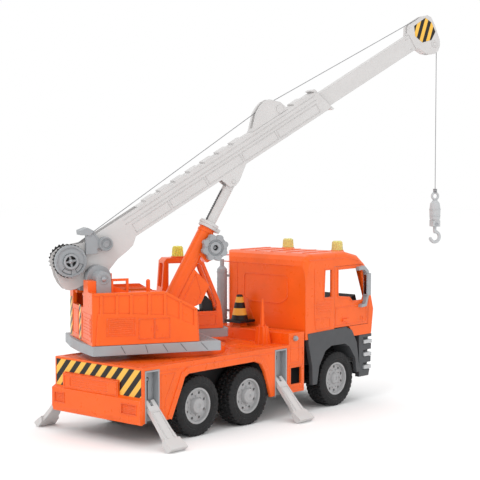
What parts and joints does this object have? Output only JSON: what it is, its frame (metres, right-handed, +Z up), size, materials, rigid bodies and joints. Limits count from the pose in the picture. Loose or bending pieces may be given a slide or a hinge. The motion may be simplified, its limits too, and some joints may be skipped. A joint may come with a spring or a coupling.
{
  "type": "toy crane truck",
  "caption": "Toy mobile crane: three-axle truck with cab, slewing superstructure, telescopic boom on a lift ram, winch rope with hook, and fold-out outriggers.",
  "frame": {"origin": "on the ground under the slewing axis of the superstructure", "axes": "+X towards the truck cab, +Y to the truck's left, +Z up"},
  "size_m": [0.493, 0.3048, 0.5338],
  "materials": {
    "orange_plastic": "moulded semi-gloss",
    "white_plastic": "moulded semi-gloss",
    "grey_plastic": "moulded satin",
    "light_grey_plastic": "moulded satin",
    "rim_plastic": "moulded satin",
    "dark_grey_plastic": "moulded satin",
    "black_plastic": "matte",
    "tyre_rubber": "matte moulded tread",
    "amber_lens": "clear tinted",
    "steel_pin": "drawn",
    "rope": "braided",
    "cone_plastic": "matte with yellow bands"
  },
  "bodies": {
    "truck": {"chassis_body": "orange_plastic", "chassis_frame": "black_plastic", "cab_shell": "orange_plastic", "cab_interior": "black_plastic", "steering_wheel": "black_plastic", "front_fenders": "dark_grey_plastic", "front_bumper": "dark_grey_plastic", "lamp_steps": "light_grey_plastic", "front_grille": "grey_plastic", "roof_beacons": "amber_lens", "exhaust_stack": "grey_plastic", "turntable_ring": "orange_plastic", "outrigger_rails": "grey_plastic"},
    "rear_wheels": {"rear_axle_rod": "steel_pin", "rear_rims": "rim_plastic", "rear_tyres": "tyre_rubber"},
    "middle_wheels": {"middle_axle_rod": "steel_pin", "middle_rims": "rim_plastic", "middle_tyres": "tyre_rubber"},
    "front_wheels": {"front_axle_rod": "steel_pin", "front_rims": "rim_plastic", "front_tyres": "tyre_rubber"},
    "left_cab_door": {"left_door": "orange_plastic", "left_mirror": "grey_plastic"},
    "right_cab_door": {"right_door": "orange_plastic", "right_mirror": "grey_plastic"},
    "button": {"side_button": "grey_plastic"},
    "cone": {"deck_cone": "cone_plastic"},
    "superstructure": {"platform": "grey_plastic", "superstructure_shell": "orange_plastic", "operator_cab": "orange_plastic", "operator_seat": "black_plastic", "operator_beacon": "amber_lens", "pivot_brackets": "grey_plastic", "boom_pivot_pin": "steel_pin"},
    "boom": {"outer_boom": "white_plastic", "rope_guide": "white_plastic", "boom_rope": "rope"},
    "winch": {"winch_drum": "black_plastic", "winch_disc": "grey_plastic", "winch_hub": "black_plastic"},
    "lever": {"ratchet_lever": "grey_plastic"},
    "telescope": {"inner_boom": "white_plastic", "boom_head": "white_plastic"},
    "sheave": {"tip_sheave": "black_plastic"},
    "ram_rod_body": {"ram_rod": "white_plastic"},
    "ram_barrel_body": {"ram_barrel": "orange_plastic", "ram_collar": "white_plastic"},
    "knob": {"luff_knob": "grey_plastic"},
    "fall": {"fall_rope": "rope"},
    "block": {"hook_block": "light_grey_plastic"},
    "hook_body": {"hook": "light_grey_plastic"},
    "rear_left_pin": {"rear_left_leg_pin": "grey_plastic"},
    "rear_left_leg_body": {"rear_left_leg": "white_plastic"},
    "rear_right_pin": {"rear_right_leg_pin": "grey_plastic"},
    "rear_right_leg_body": {"rear_right_leg": "white_plastic"},
    "front_left_pin": {"front_left_leg_pin": "grey_plastic"},
    "front_left_leg_body": {"front_left_leg": "white_plastic"},
    "front_right_pin": {"front_right_leg_pin": "grey_plastic"},
    "front_right_leg_body": {"front_right_leg": "white_plastic"}
  },
  "joints": [
    {"name": "rear_axle_roll", "type": "hinge", "parent": "truck", "child": "rear_wheels", "pos_m": [-0.0395, 0, 0.0375], "axis": [0, 1, 0], "continuous": true},
    {"name": "middle_axle_roll", "type": "hinge", "parent": "truck", "child": "middle_wheels", "pos_m": [0.0541, 0, 0.0375], "axis": [0, 1, 0], "continuous": true},
    {"name": "front_axle_roll", "type": "hinge", "parent": "truck", "child": "front_wheels", "pos_m": [0.2371, 0, 0.0375], "axis": [0, 1, 0], "continuous": true},
    {"name": "left_door_swing", "type": "hinge", "parent": "truck", "child": "left_cab_door", "pos_m": [0.303, 0.077, 0.15], "axis": [0, 0, -1], "range_deg": [0, 60]},
    {"name": "right_door_swing", "type": "hinge", "parent": "truck", "child": "right_cab_door", "pos_m": [0.303, -0.077, 0.15], "axis": [0, 0, 1], "range_deg": [0, 60]},
    {"name": "button_press", "type": "slide", "parent": "truck", "child": "button", "axis": [0, 1, 0], "range_m": [0, 0.0015], "stiffness_N_per_m": 150},
    {"name": "cone_lift", "type": "slide", "parent": "truck", "child": "cone", "axis": [0, 0, 1], "range_m": [0, 0.08]},
    {"name": "slew", "type": "hinge", "parent": "truck", "child": "superstructure", "pos_m": [0, 0, 0.1], "axis": [0, 0, 1], "range_deg": [-87, 142]},
    {"name": "boom_luff", "type": "hinge", "parent": "superstructure", "child": "boom", "pos_m": [-0.09654, 0.0506, 0.194], "axis": [-0.4642, -0.8857, 0], "range_deg": [-22, 25]},
    {"name": "ram_swing", "type": "hinge", "parent": "boom", "child": "ram_rod_body", "pos_m": [0.06548, -0.03432, 0.31079], "axis": [-0.4642, -0.8857, 0], "range_deg": [-1.3, 1.2]},
    {"name": "ram_stroke", "type": "slide", "parent": "ram_rod_body", "child": "ram_barrel_body", "axis": [-0.4245, 0.2225, -0.8777], "range_m": [-0.0395, 0.0448]},
    {"name": "luff_knob_turn", "type": "hinge", "parent": "ram_barrel_body", "child": "knob", "pos_m": [0.04044, -0.0212, 0.22688], "axis": [0.4642, 0.8857, 0], "range_deg": [-310, 352]},
    {"name": "boom_telescope", "type": "slide", "parent": "boom", "child": "telescope", "axis": [0.7552, -0.3958, 0.5225], "range_m": [-0.138, 0], "deforming": ["boom_rope"]},
    {"name": "winch_turn", "type": "hinge", "parent": "boom", "child": "winch", "pos_m": [-0.12653, 0.06632, 0.21442], "axis": [-0.4642, -0.8857, 0], "range_deg": [-720, 840]},
    {"name": "ratchet_tilt", "type": "hinge", "parent": "boom", "child": "lever", "pos_m": [-0.08649, 0.04533, 0.23462], "axis": [-0.4642, -0.8857, 0], "range_deg": [0, 12]},
    {"name": "sheave_turn", "type": "hinge", "parent": "telescope", "child": "sheave", "pos_m": [0.323, -0.16929, 0.49529], "axis": [-0.4642, -0.8857, 0], "range_deg": [-900, 1050]},
    {"name": "rope_plumb", "type": "hinge", "parent": "telescope", "child": "fall", "pos_m": [0.323, -0.16929, 0.49529], "axis": [-0.4642, -0.8857, 0], "range_deg": [-26, 23]},
    {"name": "hoist", "type": "slide", "parent": "fall", "child": "block", "axis": [0, 0, 1], "range_m": [-0.12, 0.14], "deforming": ["fall_rope"]},
    {"name": "hook_swivel", "type": "hinge", "parent": "block", "child": "hook_body", "pos_m": [0.32982, -0.17287, 0.247], "axis": [0, 0, 1], "continuous": true},
    {"name": "rear_left_pin_lift", "type": "slide", "parent": "truck", "child": "rear_left_pin", "axis": [0, 0, 1], "range_m": [0, 0.024]},
    {"name": "rear_left_leg_swing", "type": "hinge", "parent": "rear_left_pin", "child": "rear_left_leg_body", "pos_m": [-0.1205, 0.0732, 0.0505], "axis": [1, 0, 0], "range_deg": [-31, 1]},
    {"name": "rear_right_pin_lift", "type": "slide", "parent": "truck", "child": "rear_right_pin", "axis": [0, 0, 1], "range_m": [0, 0.024]},
    {"name": "rear_right_leg_swing", "type": "hinge", "parent": "rear_right_pin", "child": "rear_right_leg_body", "pos_m": [-0.1205, -0.0732, 0.0505], "axis": [-1, 0, 0], "range_deg": [-31, 1]},
    {"name": "front_left_pin_lift", "type": "slide", "parent": "truck", "child": "front_left_pin", "axis": [0, 0, 1], "range_m": [0, 0.024]},
    {"name": "front_left_leg_swing", "type": "hinge", "parent": "front_left_pin", "child": "front_left_leg_body", "pos_m": [0.115, 0.0732, 0.0505], "axis": [1, 0, 0], "range_deg": [-31, 1]},
    {"name": "front_right_pin_lift", "type": "slide", "parent": "truck", "child": "front_right_pin", "axis": [0, 0, 1], "range_m": [0, 0.024]},
    {"name": "front_right_leg_swing", "type": "hinge", "parent": "front_right_pin", "child": "front_right_leg_body", "pos_m": [0.115, -0.0732, 0.0505], "axis": [-1, 0, 0], "range_deg": [-31, 1]}
  ],
  "couplings": [
    {"joint": "ram_swing", "follows": "boom_luff", "ratio": -0.045},
    {"joint": "ram_stroke", "follows": "boom_luff", "m_per_rad": 0.102},
    {"joint": "luff_knob_turn", "follows": "boom_luff", "ratio": 14},
    {"joint": "rope_plumb", "follows": "boom_luff", "ratio": -1},
    {"joint": "hoist", "follows": "winch_turn", "m_per_rad": 0.0095},
    {"joint": "sheave_turn", "follows": "winch_turn", "ratio": 1.2338},
    {"joint": "rear_left_leg_swing", "follows": "rear_left_pin_lift", "rad_per_m": -21.8},
    {"joint": "rear_right_leg_swing", "follows": "rear_right_pin_lift", "rad_per_m": -21.8},
    {"joint": "front_left_leg_swing", "follows": "front_left_pin_lift", "rad_per_m": -21.8},
    {"joint": "front_right_leg_swing", "follows": "front_right_pin_lift", "rad_per_m": -21.8}
  ]
}
